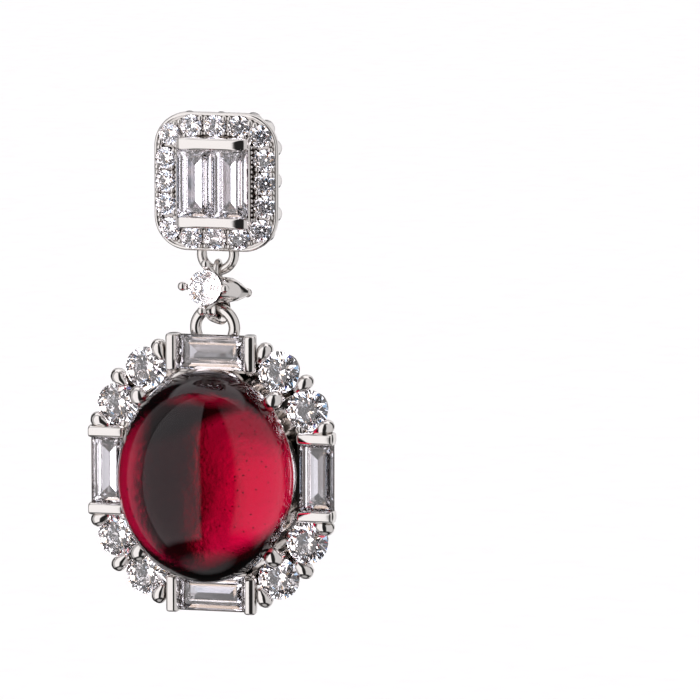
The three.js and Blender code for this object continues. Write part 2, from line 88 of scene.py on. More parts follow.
def oval(halfWidth, halfHeight, z, squareness=2.0, sides=96):
    power = 2 / squareness
    ring = []
    for a in turns(sides):
        x = math.copysign(abs(math.cos(a)) ** power, math.cos(a))
        y = math.copysign(abs(math.sin(a)) ** power, math.sin(a))
        ring.append(Vector((halfWidth * x, halfHeight * y, z)))
    return ring


def roundedRectangle(halfWidth, halfHeight, radius, z, steps=8):
    ring = []
    for corner, (sx, sy) in enumerate(((1, 1), (-1, 1), (-1, -1), (1, -1))):
        for i in range(steps + 1):
            a = (corner + i / steps) * math.pi / 2
            x = sx * (halfWidth - radius) + radius * math.cos(a)
            y = sy * (halfHeight - radius) + radius * math.sin(a)
            ring.append(Vector((x, y, z)))
    return ring


def skin(bm, rings, loop=False):
    rows = [[bm.verts.new(point) for point in ring] for ring in rings]
    pairs = list(zip(rows, rows[1:]))
    if loop:
        pairs.append((rows[-1], rows[0]))
    for low, high in pairs:
        count = max(len(low), len(high))
        for i in range(count):
            j = (i + 1) % count
            corners = [low[i % len(low)], low[j % len(low)], high[j % len(high)], high[i % len(high)]]
            bm.faces.new(list(dict.fromkeys(corners)))
    if not loop:
        for row in (rows[0], rows[-1]):
            if len(row) > 2:
                bm.faces.new(row)


def lathe(bm, profile, sides=32, loop=False):
    skin(bm, [circle(radius, z, sides) for radius, z in profile], loop)


def tube(bm, path, radii, sides=16):
    path = [Vector(point) for point in path]
    first, last = (path[1] - path[0]).normalized(), (path[-1] - path[-2]).normalized()
    rounding = [math.radians(a) for a in (90, 67, 45, 22)]
    start = [(path[0] - first * radii[0] * math.sin(a), radii[0] * math.cos(a)) for a in rounding]
    end = [(path[-1] + last * radii[-1] * math.sin(a), radii[-1] * math.cos(a)) for a in rounding]
    spine = start + list(zip(path, radii)) + end[::-1]
    side = first.orthogonal()
    rings = []
    for i, (point, radius) in enumerate(spine):
        along = (spine[min(i + 1, len(spine) - 1)][0] - spine[max(i - 1, 0)][0]).normalized()
        side = (side - along * side.dot(along)).normalized()
        up = along.cross(side)
        around = [side * math.cos(a) + up * math.sin(a) for a in turns(sides)]
        rings.append([point] if i in (0, len(spine) - 1) else [point + way * radius for way in around])
    skin(bm, rings)


def bend(a, b, c, steps=8):
    a, b, c = Vector(a), Vector(b), Vector(c)
    shares = [i / steps for i in range(steps + 1)]
    return [a * (1 - t) ** 2 + b * 2 * t * (1 - t) + c * t ** 2 for t in shares]


def torus(bm, centre, ringRadius, wireRadius, normal="z", sides=20, steps=64):
    rings = []
    for a in turns(steps):
        ring = []
        for b in turns(sides):
            reach = ringRadius + wireRadius * math.cos(b)
            height = wireRadius * math.sin(b)
            flat = (reach * math.cos(a), reach * math.sin(a))
            point = (*flat, height) if normal == "z" else (height, *flat)
            ring.append(Vector(centre) + Vector(point))
        rings.append(ring)
    skin(bm, rings, loop=True)


def pillow(bm, size, centre, outline=5.0, crown=2.7, sides=64, steps=16):
    # a bar with softly crowned faces: outline is its squareness face on, crown that of its section
    middle, (length, width, height) = Vector(centre), (side / 2 for side in size)
    rings = [[middle - Vector((0, 0, height))]]
    for i in range(1, steps):
        a = math.pi * (i / steps - 0.5)
        share, z = math.cos(a) ** (2 / crown), math.copysign(abs(math.sin(a)) ** (2 / crown), math.sin(a))
        section = oval(length * share, width * share, height * z, outline, sides)
        rings.append([middle + point for point in section])
    skin(bm, rings + [[middle + Vector((0, 0, height))]])


def sheet(bm, outline, holes, back, front, rounding):
    # a flat plate with holes: a filled curve, with every edge a little rounded
    curve = bpy.data.curves.new("plate outline", "CURVE")
    curve.dimensions = "2D"
    curve.fill_mode = "BOTH"
    curve.extrude = (front - back) / 2 - rounding
    curve.bevel_depth = rounding
    curve.bevel_resolution = 2
    curve.offset = -rounding
    for ring in [outline, *holes]:
        spline = curve.splines.new("POLY")
        spline.points.add(len(ring) - 1)
        spline.use_cyclic_u = True
        for point, place in zip(spline.points, ring):
            point.co = (place.x, place.y, 0, 1)
    holder = bpy.data.objects.new("plate outline", curve)
    bpy.context.scene.collection.objects.link(holder)
    flat = builtMesh(holder)
    flat.transform(Matrix.Translation((0, 0, (back + front) / 2)))
    bm.from_mesh(flat)
    bpy.data.objects.remove(holder)
    bpy.data.curves.remove(curve)
    bpy.data.meshes.remove(flat)


def builtMesh(holder):
    # the mesh that an object's curve settings or modifiers make
    return bpy.data.meshes.new_from_object(holder.evaluated_get(bpy.context.evaluated_depsgraph_get()))


def meshOf(draw, origin=Vector((0, 0, 0)), angle=38):
    # smooth where the surface turns gently, sharp past the angle
    bm = bmesh.new()
    draw(bm)
    bmesh.ops.remove_doubles(bm, verts=bm.verts, dist=1e-5)
    bmesh.ops.recalc_face_normals(bm, faces=bm.faces)
    bmesh.ops.transform(bm, matrix=Matrix.Translation(origin) @ faceOn, verts=bm.verts)
    mesh = bpy.data.meshes.new("solid")
    bm.to_mesh(mesh)
    bm.free()
    mesh.shade_smooth()
    mesh.set_sharp_from_angle(angle=math.radians(angle))
    return mesh


def coat(piece, material):
    piece.data.materials.clear()
    piece.data.materials.append(material)


def addPiece(name, mesh, body, material, replaced=()):
    piece = bpy.data.objects.new(name, mesh)
    mesh.name = name
    coat(piece, material)
    bpy.context.scene.collection.objects.link(piece)
    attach(piece, body)
    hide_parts(*replaced)
    return piece


# geometry nodes: one tree sets copies of a drawn part on points

def socket(tree, name, kind, way="INPUT", default=None):
    made = tree.interface.new_socket(name, in_out=way, socket_type=kind)
    if default is not None:
        made.default_value = default
    return made.identifier


def addNode(tree, kind, links=None, stops=(), **settings):
    # settings are the node's own; links maps an input to a value or to an output socket; stops are a
    # colour ramp's two marks, each a position and a colour
    node = tree.nodes.new(kind)
    for i, (position, colour) in enumerate(stops):
        node.color_ramp.elements[i].position = position
        node.color_ramp.elements[i].color = colour
    for key, value in settings.items():
        setattr(node, key, value)
    for key, value in (links or {}).items():
        if isinstance(value, bpy.types.NodeSocket):
            tree.links.new(value, node.inputs[key])
        else:
            node.inputs[key].default_value = value
    return node


def settingTree():
    tree = bpy.data.node_groups.new("set parts on points", "GeometryNodeTree")
    sockets = {
        "Places": socket(tree, "Places", "NodeSocketGeometry"),
        "Part": socket(tree, "Part", "NodeSocketObject"),
        "Size": socket(tree, "Size", "NodeSocketFloat", default=1.0),
        "Size Variation": socket(tree, "Size Variation", "NodeSocketFloat", default=0.0),
        "Tilt Variation": socket(tree, "Tilt Variation", "NodeSocketFloat", default=0.0),
        "Seed": socket(tree, "Seed", "NodeSocketInt", default=1),
        "Material": socket(tree, "Material", "NodeSocketMaterial"),
    }
    socket(tree, "Solid", "NodeSocketGeometry", "OUTPUT")
    given = addNode(tree, "NodeGroupInput").outputs
    part = addNode(tree, "GeometryNodeObjectInfo", {"Object": given["Part"]})
    turn = addNode(tree, "GeometryNodeInputNamedAttribute", {"Name": "turn"}, data_type="FLOAT_VECTOR")
    least = addNode(tree, "ShaderNodeMath", {0: 1.0, 1: given["Size Variation"]}, operation="SUBTRACT")
    most = addNode(tree, "ShaderNodeMath", {0: 1.0, 1: given["Size Variation"]}, operation="ADD")
    change = addNode(tree, "FunctionNodeRandomValue", data_type="FLOAT",
                     links={2: least.outputs[0], 3: most.outputs[0], "Seed": given["Seed"]})
    size = addNode(tree, "ShaderNodeMath", {0: given["Size"], 1: change.outputs[1]}, operation="MULTIPLY")
    widest = given["Tilt Variation"]
    low = addNode(tree, "ShaderNodeVectorMath", {0: (-1, -1, -1), 3: widest}, operation="SCALE")
    high = addNode(tree, "ShaderNodeVectorMath", {0: (1, 1, 1), 3: widest}, operation="SCALE")
    tilt = addNode(tree, "FunctionNodeRandomValue", data_type="FLOAT_VECTOR",
                   links={0: low.outputs[0], 1: high.outputs[0], "Seed": given["Seed"]})
    lean = addNode(tree, "ShaderNodeVectorMath", {0: turn.outputs[0], 1: tilt.outputs[0]}, operation="ADD")
    copies = addNode(tree, "GeometryNodeInstanceOnPoints", {
        "Points": given["Places"], "Instance": part.outputs["Geometry"],
        "Rotation": lean.outputs[0], "Scale": size.outputs[0],
    })
    solid = addNode(tree, "GeometryNodeRealizeInstances", {"Geometry": copies.outputs[0]})
    painted = addNode(tree, "GeometryNodeSetMaterial",
                      {"Geometry": solid.outputs[0], "Material": given["Material"]})
    addNode(tree, "NodeGroupOutput", {"Solid": painted.outputs[0]})
    return tree, sockets


partTree, partSockets = settingTree()


def setParts(name, draw, places, body, material, slot, replaced=(), angle=38, **values):
    # places: (x, y, z, turn) face on, the turn anticlockwise for the viewer, in radians; a fifth value
    # first leans the part about its own length, and a sixth then faces it to the right
    part = bpy.data.objects.new("part", meshOf(draw, angle=angle))
    dots = bpy.data.meshes.new("places")
    dots.from_pydata([centres[body] + faceOn @ Vector(place[:3]) for place in places], [], [])
    turn = dots.attributes.new("turn", "FLOAT_VECTOR", "POINT")
    spins = [(*place, 0, 0)[3:6] for place in places]
    turn.data.foreach_set("vector", [value for spin, lean, face in spins for value in (lean, -spin, face)])
    holder = bpy.data.objects.new("places", dots)
    bpy.context.scene.collection.objects.link(holder)
    modifier = holder.modifiers.new("parts", "NODES")
    modifier.node_group = partTree
    for key, value in {"Part": part, "Material": material, **values}.items():
        modifier[partSockets[key]] = value
    mesh = builtMesh(holder)
    for used in (holder, part):
        data = used.data
        bpy.data.objects.remove(used)
        bpy.data.meshes.remove(data)
    return addPiece(name, mesh, body, material, replaced)


# materials

def toLinear(code):
    shares = [int(code[i:i + 2], 16) / 255 for i in (1, 3, 5)]
    return (*[s / 12.92 if s <= 0.04045 else ((s + 0.055) / 1.055) ** 2.4 for s in shares], 1)


def startMaterial(name, **values):
    material = bpy.data.materials.new(name)
    material.use_nodes = True
    nodes = material.node_tree.nodes
    shader = nodes["Principled BSDF"]
    for key, value in values.items():
        shader.inputs[key].default_value = value
    place = addNode(material.node_tree, "ShaderNodeTexCoord").outputs["Object"]
    return material, material.node_tree, shader, place


def rhodiumSilver():
    # sterling silver, cast, rhodium plated and buffed: a warm white mirror, with faint buffing waves,
    # painted shade that darkens the base colour to brown grey in the deep corners, and a skin that blurs what
    # it mirrors a little
    look = {
        "bright": "#f4f0ed", "corner": "#6b5d54", "cornerReach": 0.00045, "paintedShadeShare": (0.12, 0.62),
        "roughness": (0.05, 0.13), "waveSize": 0.0009, "waveDepth": 0.000006,
    }
    material, tree, shader, place = startMaterial("rhodium plated silver", Metallic=1.0)
    # painted shade: where the AO node finds surfaces close by, the base colour turns from the bright tone to
    # the brown grey corner tone
    hollow = addNode(tree, "ShaderNodeAmbientOcclusion", {"Distance": look["cornerReach"]}, samples=4)
    dark, unshaded = look["paintedShadeShare"]
    colour = addNode(tree, "ShaderNodeValToRGB", {"Fac": hollow.outputs["AO"]},
                     ((dark, toLinear(look["corner"])), (unshaded, toLinear(look["bright"]))))
    tree.links.new(colour.outputs["Color"], shader.inputs["Base Color"])
    buffing = addNode(tree, "ShaderNodeTexNoise",
                      {"Vector": place, "Scale": 1 / look["waveSize"], "Detail": 3.0})
    low, high = look["roughness"]
    finish = addNode(tree, "ShaderNodeMapRange", {"Value": buffing.outputs[0], "To Min": low, "To Max": high})
    tree.links.new(finish.outputs[0], shader.inputs["Roughness"])
    wave = addNode(tree, "ShaderNodeBump", {"Height": buffing.outputs[0], "Distance": look["waveDepth"]})
    tree.links.new(wave.outputs[0], shader.inputs["Normal"])
    return material


def zirconia(name, tint, hairline=0.012):
    # cubic zirconia, cut and polished: colourless, bends light hard, so facets flash white or black
    look = {"ior": 2.16, "hairline": hairline, "hairSize": 0.0006}
    material, tree, shader, place = startMaterial(name, **{"Transmission Weight": 1.0})
    shader.inputs["IOR"].default_value = look["ior"]
    shader.inputs["Base Color"].default_value = toLinear(tint)
    wipe = addNode(tree, "ShaderNodeTexNoise", {"Vector": place, "Scale": 1 / look["hairSize"]})
    haze = addNode(tree, "ShaderNodeMapRange", {"Value": wipe.outputs[0], "To Max": look["hairline"]})
    tree.links.new(haze.outputs[0], shader.inputs["Roughness"])
    return material


def ruby():
    # synthetic ruby, domed and polished: clear deep red that pales to pink where it is thin, under a wet
    # gloss with the faintest wiping marks
    look = {
        "ior": 1.77, "gloss": "#b2acb0", "depth": "#e900b5", "density": 800.0,
        "wipe": 0.025, "wipeSize": 0.0008,
    }
    material, tree, shader, place = startMaterial("synthetic ruby", **{"Transmission Weight": 1.0})
    shader.inputs["IOR"].default_value = look["ior"]
    shader.inputs["Base Color"].default_value = toLinear("#ffffff")
    shader.inputs["Specular Tint"].default_value = toLinear(look["gloss"])
    marks = addNode(tree, "ShaderNodeTexNoise",
                    {"Vector": place, "Scale": 1 / look["wipeSize"], "Detail": 3.0})
    haze = addNode(tree, "ShaderNodeMapRange", {"Value": marks.outputs[0], "To Max": look["wipe"]})
    tree.links.new(haze.outputs[0], shader.inputs["Roughness"])
    depth = addNode(tree, "ShaderNodeVolumeAbsorption",
                    {"Color": toLinear(look["depth"]), "Density": look["density"]})
    tree.links.new(depth.outputs[0], tree.nodes["Material Output"].inputs["Volume"])
    return material


def mirrorFoil():
    # mirror foil, bonded to the back of the stone: throws light back through the red, a little
    # crinkled, with dark pinholes, and with painted shade in two dark bands towards its top and bottom
    look = {
        "film": "#b8b3b0", "pinhole": "#150b0c", "pinholeSize": 0.00026, "pinholeReach": (0.09, 0.16),
        # painted shade zones, dark bands standing in for shade in the stone's body: the height where each
        # starts, is full, is full still and ends, in millimetres
        "paintedShade": "#2a1a1c", "paintedShadeTop": (2.1, 2.6, 2.9, 3.4), "paintedShadeLow": (-3.2, -3.9, -4.7, -5.3),
        "slant": 0.5, "paintedShadeSide": (-2.9, -1.9),
        "crinkleSize": 0.0009, "crinkleDepth": 0.00004, "roughness": (0.08, 0.24),
    }
    material, tree, shader, place = startMaterial("mirror foil", Metallic=1.0)
    spots = addNode(tree, "ShaderNodeTexVoronoi", {"Vector": place, "Scale": 1 / look["pinholeSize"]})
    near, far = look["pinholeReach"]
    colour = addNode(tree, "ShaderNodeValToRGB", {"Fac": spots.outputs["Distance"]},
                     ((near, toLinear(look["pinhole"])), (far, toLinear(look["film"])))).outputs["Color"]
    apart = addNode(tree, "ShaderNodeVectorMath", {0: place, 1: centres["drop"]}, operation="SUBTRACT")
    parts = addNode(tree, "ShaderNodeSeparateXYZ", {0: apart.outputs[0]}).outputs
    across, up = parts["X"], parts["Z"]
    slant = addNode(tree, "ShaderNodeMath", {0: across, 1: look["slant"]}, operation="MULTIPLY").outputs[0]
    height = addNode(tree, "ShaderNodeMath", {0: up, 1: slant}, operation="SUBTRACT").outputs[0]
    # painted shade: the two dark bands slant with the place across the stone and fade out towards its left
    # side
    inner, outer = (edge * mm for edge in look["paintedShadeSide"])
    side = addNode(tree, "ShaderNodeMapRange", {"Value": across, "From Min": inner, "From Max": outer})
    for zone in (look["paintedShadeTop"], look["paintedShadeLow"]):  # painted shade towards both ends
        start, full, still, end = (edge * mm for edge in zone)
        rise = addNode(tree, "ShaderNodeMapRange", {"Value": height, "From Min": start, "From Max": full})
        fall = addNode(tree, "ShaderNodeMapRange", {"Value": up, "From Min": end, "From Max": still})
        shadeBand = addNode(tree, "ShaderNodeMath", {0: rise.outputs[0], 1: fall.outputs[0]}, operation="MULTIPLY")
        paintedShadeMask = addNode(tree, "ShaderNodeMath", {0: shadeBand.outputs[0], 1: side.outputs[0]}, operation="MULTIPLY")
        colour = addNode(tree, "ShaderNodeMix", {0: paintedShadeMask.outputs[0], 6: colour, 7: toLinear(look["paintedShade"])},
                         data_type="RGBA").outputs[2]
    tree.links.new(colour, shader.inputs["Base Color"])
    folds = addNode(tree, "ShaderNodeTexNoise",
                    {"Vector": place, "Scale": 1 / look["crinkleSize"], "Detail": 8.0, "Roughness": 0.6})
    low, high = look["roughness"]
    finish = addNode(tree, "ShaderNodeMapRange", {"Value": folds.outputs[0], "To Min": low, "To Max": high})
    tree.links.new(finish.outputs[0], shader.inputs["Roughness"])
    crinkle = addNode(tree, "ShaderNodeBump", {"Height": folds.outputs[0], "Distance": look["crinkleDepth"]})
    tree.links.new(crinkle.outputs[0], shader.inputs["Normal"])
    return material


silver = rhodiumSilver()
clearStone = zirconia("cut zirconia", "#f7f5fb")
paveStone = zirconia("pave zirconia", "#f2f0f8")
stepStone = zirconia("step cut zirconia", "#cdcbd3", 0.13)  # long facets with a softer polish
redStone = ruby()
foil = mirrorFoil()


# stud: a paved cushion-square top on a ribbed gallery, with a raised box for two baguettes

stud = {
    "halfWidth": 3.56, "halfHeight": 3.9, "cornerRadius": 1.95, "front": 2.1, "plateBack": 1.5,
    "seat": 1.97, "lip": 2.05, "plateRounding": 0.13, "backPlate": 0.3, "backInset": 0.4, "coreInset": 0.62,
    "coreFront": 1.52, "seatInset": 0.1, "lipWidth": 0.18,
    # scallops of the gallery; the foot gives shares of the radius and heights over ribBack
    "ribRadius": 0.5, "ribInset": 0.06, "ribPitch": 1.85, "ribBack": 0.42, "ribFront": 1.62,
    "ribFoot": [(0, -0.28), (0.5, -0.2), (0.87, 0), (1, 0.2)],
}
pave = {
    # stone centres
    "rowX": 2.88, "rowY": 3.17, "pitchX": 1.38, "pitchY": 1.3, "cornerX": 2.64, "cornerY": 2.66,
    "stone": 0.62, "girdle": 2.13, "hole": 0.52, "grain": 0.17, "grainOut": 0.43, "grainApart": 0.15,
    "grainHeight": 2.14, "fan": 2.6,  # each stone faces outwards by so many degrees for each millimetre
}
box = {
    "halfWidth": 2.14, "halfHeight": 2.46, "corner": 0.1, "front": 2.66,
    "openWidth": 2.06, "openHeight": 2.04,
    "wallFoot": 0.16, "bead": 0.11, "beadPitch": 0.27, "beadDrop": 0.24, "beadOut": 0.01, "beadEnd": 0.3,
    "barLength": 4.16, "barWidth": 0.76, "barTop": 3.12, "barReach": 2.2, "barOutline": 9.0, "barCrown": 3.0,
}
loopWire = {"ring": 0.935, "wire": 0.285, "drop": -4.1, "depth": 1.5}  # hanging loop under the stud
pin = {"radius": 0.42, "length": 10.4, "socket": 0.6, "tip": 0.3}  # a straight ear wire, 0.84 thick


def studOutline(inset, cornerInset, z, steps=8):
    width, height, corner = stud["halfWidth"], stud["halfHeight"], stud["cornerRadius"]
    return roundedRectangle(width - inset, height - inset, corner - cornerInset, z, steps)


def quadrants(x, y):
    return [(x, y), (-x, y), (x, -y), (-x, -y)]


def paveCentres():
    # clockwise round the border, so that neighbours follow each other
    p = pave
    top = [(i * p["pitchX"], p["rowY"]) for i in (-1, 0, 1)]
    right = [(p["rowX"], -i * p["pitchY"]) for i in (-1, 0, 1)]
    half = [*top, (p["cornerX"], p["cornerY"]), *right, (p["cornerX"], -p["cornerY"])]
    return half + [(-x, -y) for x, y in half]


def grainPlaces():
    ring = paveCentres()
    places = []
    for (ax, ay), (bx, by) in zip(ring, ring[1:] + ring[:1]):
        middle, along = Vector(((ax + bx) / 2, (ay + by) / 2)), Vector((bx - ax, by - ay)).normalized()
        across = Vector((along.y, -along.x))
        for side in (-1, 1):
            for step in (-1, 1):
                spot = middle + across * side * pave["grainOut"] + along * step * pave["grainApart"]
                places.append((spot.x, spot.y, pave["grainHeight"], 0))
    return places


def ribPlaces():
    inset = stud["ribRadius"] + stud["ribInset"]
    x, y = stud["halfWidth"] - inset, stud["halfHeight"] - inset
    reach = (stud["cornerRadius"] - inset) * math.sqrt(0.5)
    cornerX = stud["halfWidth"] - stud["cornerRadius"] + reach
    cornerY = stud["halfHeight"] - stud["cornerRadius"] + reach
    steps = [i * stud["ribPitch"] for i in (-1, 0, 1)]
    flat = quadrants(cornerX, cornerY) + [(s, side * y) for s in steps for side in (-1, 1)]
    flat += [(side * x, s) for s in steps for side in (-1, 1)]
    return [(px, py, 0, 0) for px, py in flat]


def drawStudPlates(bm):
    s = stud
    plate = []
    for chamfer, z in ((0.08, 0), (0, 0.06), (0, s["backPlate"] - 0.06), (0.08, s["backPlate"])):
        inset = s["backInset"] + chamfer
        plate.append(studOutline(inset, inset / 2, z))
    skin(bm, plate)
    skin(bm, [studOutline(s["coreInset"], s["coreInset"] / 2, z) for z in (0.1, s["coreFront"])])


def drawPavedPlate(bm):
    s = stud
    holes = [[p + Vector((x, y, 0)) for p in circle(pave["hole"], 0, 24)] for x, y in paveCentres()]
    sheet(bm, studOutline(s["seatInset"], s["seatInset"], 0, 12), holes, s["plateBack"], s["seat"], 0.02)
    profile = [(s["lipWidth"], s["lip"] - 0.02), *rimProfile(), (s["lipWidth"], s["plateBack"])]
    skin(bm, [studOutline(inset, inset, z, 16) for inset, z in profile], loop=True)


def rimProfile():
    # how far in from the outline, and how high, over the lip's rounded edge
    lip, front, back = stud["plateRounding"], stud["lip"], stud["plateBack"]
    quarter = [math.radians(a) for a in (90, 68, 45, 22, 0)]
    top = [(lip - lip * math.cos(a), front - lip + lip * math.sin(a)) for a in quarter]
    return top + [(lip - lip * math.cos(a), back + lip - lip * math.sin(a)) for a in quarter[::-1]]


def drawRib(bm):
    radius, front = stud["ribRadius"], stud["ribFront"]
    foot = [(radius * share, stud["ribBack"] + over) for share, over in stud["ribFoot"]]
    lathe(bm, [*foot, (radius, front), (0, front)], 24)


def drawBox(bm):
    b, foot, slope = box, stud["front"] - 0.1, box["wallFoot"]
    rings = []
    outer = ((0, foot), (0, b["front"] - 0.05), (0.05, b["front"]))
    for inset, z in outer:
        rings.append(roundedRectangle(b["halfWidth"] - inset, b["halfHeight"] - inset, b["corner"], z, 3))
    inner = ((0, b["front"]), (0, b["front"] - 0.12), (slope, b["front"] - 0.42), (slope, foot))
    for inset, z in inner:
        rings.append(roundedRectangle(b["openWidth"] - inset, b["openHeight"] - inset, 0.04, z, 3))
    skin(bm, rings, loop=True)


def boxBeadPlaces():
    b = box
    x, z = b["halfWidth"] + b["beadOut"], b["front"] - b["beadDrop"]
    count = int(2 * (b["halfHeight"] - b["beadEnd"]) / b["beadPitch"])
    rows = [(i - (count - 1) / 2) * b["beadPitch"] for i in range(count)]
    return [(side * x, y, z, 0) for y in rows for side in (-1, 1)]


def drawBead(radius):
    return lambda bm: bmesh.ops.create_uvsphere(bm, u_segments=16, v_segments=10, radius=radius)


def drawBoxBars(bm):
    b = box
    height = b["barTop"] - stud["front"]
    for side in (-1, 1):
        centre = (0, side * b["barReach"], b["barTop"] - height / 2)
        pillow(bm, (b["barLength"], b["barWidth"], height), centre, b["barOutline"], b["barCrown"])


def drawLoop(bm):
    torus(bm, (0, loopWire["drop"], loopWire["depth"]), loopWire["ring"], loopWire["wire"])


def drawPin(bm):
    p = pin
    front, back = p["socket"], p["socket"] - p["length"]
    profile = [(0, front), (p["radius"], front), (p["radius"], back + p["tip"])]
    profile += [(p["radius"] * math.cos(a), back + p["tip"] * (1 - math.sin(a))) for a in (0.4, 0.8, 1.2)]
    lathe(bm, profile + [(0, back)], 48)


def drawBrilliant(radius, bm):
    # table, eight stars, eight kites, sixteen upper and lower facets and eight mains, in shares of the
    # radius: how far out the table, the stars and the lower mains reach, and each one's height
    table, star, low = (share * radius for share in (0.56, 0.78, 0.24))
    tableZ, edge, culet = (share * radius for share in (0.33, 0.025, -0.86))
    step = math.pi / 8
    starZ = tableZ - (tableZ - edge) * (star * math.cos(step) - table) / (radius - table)
    lowZ = culet + (-edge - culet) * low * math.cos(step) / radius

    def corners(count, reach, z, turn):
        spots = [turn + 2 * math.pi * i / count for i in range(count)]
        return [bm.verts.new((reach * math.cos(a), reach * math.sin(a), z)) for a in spots]

    t, s = corners(8, table, tableZ, 0), corners(8, star, starZ, step)
    g, b = corners(16, radius, edge, 0), corners(16, radius, -edge, 0)
    p, point = corners(8, low, lowZ, step), bm.verts.new((0, 0, culet))
    bm.faces.new(t)
    for i in range(8):
        j, left, middle, right = (i + 1) % 8, 2 * i, 2 * i + 1, (2 * i + 2) % 16
        for face in ((t[i], s[i], t[j]), (t[i], s[i - 1], g[left], s[i]), (s[i], g[left], g[middle]),
                     (s[i], g[middle], g[right]), (p[i], b[middle], b[left]), (p[i], b[right], b[middle]),
                     (point, p[i], b[left], p[i - 1])):
            bm.faces.new(face)
    for i in range(16):
        bm.faces.new((b[i], b[(i + 1) % 16], g[(i + 1) % 16], g[i]))


def makeStud():
    origin = centres["stud"]
    metal = {"stud_back": (drawStudPlates, 15), "stud_paved_plate": (drawPavedPlate, 38),
             "stud_box": (drawBox, 38), "stud_bars": (drawBoxBars, 38), "stud_loop": (drawLoop, 38)}
    for name, (draw, angle) in metal.items():
        addPiece(name, meshOf(draw, origin, angle), "stud", silver, ["stud_frame"])
    addPiece("ear_pin", meshOf(drawPin, origin), "stud", silver, ["ear_post"])
    setParts("stud_gallery", drawRib, ribPlaces(), "stud", silver, "metal", ["stud_frame"])
    setParts("stud_grains", drawBead(pave["grain"]), grainPlaces(), "stud", silver, "metal",
             ["stud_frame"], **{"Size Variation": 0.18, "Seed": 4})
    setParts("stud_box_beads", drawBead(box["bead"]), boxBeadPlaces(), "stud", silver, "metal",
             ["stud_frame"], **{"Size Variation": 0.08, "Seed": 7})
    fan = math.radians(pave["fan"])
    stones = [(x, y, pave["girdle"], i * 0.7, 0, fan * x) for i, (x, y) in enumerate(paveCentres())]
    setParts("pave_stones", lambda bm: drawBrilliant(pave["stone"], bm), stones, "stud", paveStone,
             "clear_stones", angle=1, **{"Tilt Variation": 0.05, "Seed": 2})
    for name in ("stud_baguette_left", "stud_baguette_right"):
        coat(frame["nodes"][name], stepStone)


makeStud()
print("stud done")


# link: a small round stone in a double basket, hung by one eye and carrying the drop by another

link = {
    "centre": (-0.13, -0.685, 2.45), "lean": 11, "twist": 10, "waist": -1.45, "back": -2.95,
    "reach": 1.31, "beadZ": 0.12, "bead": 0.26, "prong": 0.17, "foot": 0.42, "petal": 0.74,
    "prongFoot": 0.3, "prongKnee": (0.08, -0.45), "petalTop": -1.2, "petalKnee": (1.0, 0.75),
    "prongTaper": 1.6, "petalStay": 0.35,  # how soon a prong thins, and how long a rear petal stays broad
    # radius, and height over the waist
    "cup": [(0, 0.2), (0.3, 0.25), (0.72, 1.03), (0.9, 1.15), (0.98, 1.09), (0.42, 0), (0, -0.02)],
    "skirt": [(0, 0.05), (0.42, 0), (0.6, -0.72), (0.52, -0.8), (0.2, -0.25), (0, -0.2)],
    "upperWire": 0.16, "upperGap": 0.05, "stem": 0.2,
    "leafWidth": 1.7, "leaf": [0.24, 0.28, 0.3, 0.3, 0.28, 0.24, 0.16],  # radii, from waist to lower eye
    # half of the lower eye's section: place across it, and radius; the other half is its mirror image
    "strap": [(-0.12, 0.64), (-0.21, 0.7), (-0.26, 0.68), (-0.24, 0.61), (-0.17, 0.52), (-0.09, 0.46)],
    "strapMiddle": (0.62, 0.44),
    "filedFlat": -1.6, "filedBehind": 1.25,
    "apron": (1.56, 1.6, 0.2), "apronOutline": 3.0, "apronCrown": 2.2,
    "apronPlace": (0.0, -2.23, 0.04), "apronTurn": -14, "apronLean": 16,
}
bailWire = {"ring": 1.125, "wire": 0.325}


def intoBasket():
    lean = Matrix.Rotation(math.radians(-link["lean"]), 4, "X")
    twist = Matrix.Rotation(math.radians(-link["twist"]), 4, "Y")
    return Matrix.Translation(link["centre"]) @ twist @ lean


def drawBasket(bm):
    for profile in (link["cup"], link["skirt"]):
        lathe(bm, [(radius, link["waist"] + over) for radius, over in profile], 40)
    bmesh.ops.transform(bm, matrix=intoBasket(), verts=bm.verts)


def drawProngs(bm):
    k, stay, shares = link, link["petalStay"], [step / 8 for step in range(9)]
    kneeIn, kneeZ = k["prongKnee"]
    for a in turns(4):
        out = Vector((math.cos(a), math.sin(a), 0))
        foot = out * k["prongFoot"] + Vector((0, 0, k["waist"] + 0.1))
        knee = out * (k["reach"] - kneeIn) + Vector((0, 0, kneeZ))
        tip = out * k["reach"] + Vector((0, 0, k["beadZ"] - 0.06))
        thinned = [min(1, share * k["prongTaper"]) for share in shares]
        tube(bm, bend(foot, knee, tip), [k["foot"] + (k["prong"] - k["foot"]) * t for t in thinned])
    thinned = [max(0, share - stay) / (1 - stay) for share in shares]
    kneeOut, kneeRise = k["petalKnee"]
    for side in (1, -1):
        foot, knee = (side * k["prongFoot"], 0, k["petalTop"]), (side * kneeOut, 0, k["back"] + kneeRise)
        path = bend(foot, knee, (side * k["reach"], 0, k["back"]))
        tube(bm, path, [k["petal"] + (k["prong"] - k["petal"]) * t for t in thinned], 24)
    beads = [(k["reach"] * math.cos(a), k["reach"] * math.sin(a), k["beadZ"]) for a in turns(4)]
    beads += [(side * k["reach"], 0, k["back"]) for side in (1, -1)]
    for place in beads:
        bmesh.ops.create_uvsphere(bm, u_segments=24, v_segments=16, radius=k["bead"],
                                  matrix=Matrix.Translation(place))
    bmesh.ops.transform(bm, matrix=intoBasket(), verts=bm.verts)
    for v in bm.verts:
        if v.co.z < k["filedBehind"]:  # filed flat underneath, where the bail swings
            v.co.y = max(v.co.y, k["filedFlat"])


def strap(bm, centre):
    # an eye whose hole is narrow in the middle and flares at both edges, so that the bail can swing
    outer, inner = link["strapMiddle"]
    half = link["strap"]
    section = [(0, outer), *half, (0, inner), *((-x, radius) for x, radius in half[::-1])]
    rings = [[centre + Vector((x, r * math.cos(a), r * math.sin(a))) for x, r in section] for a in turns(48)]
    skin(bm, rings, loop=True)


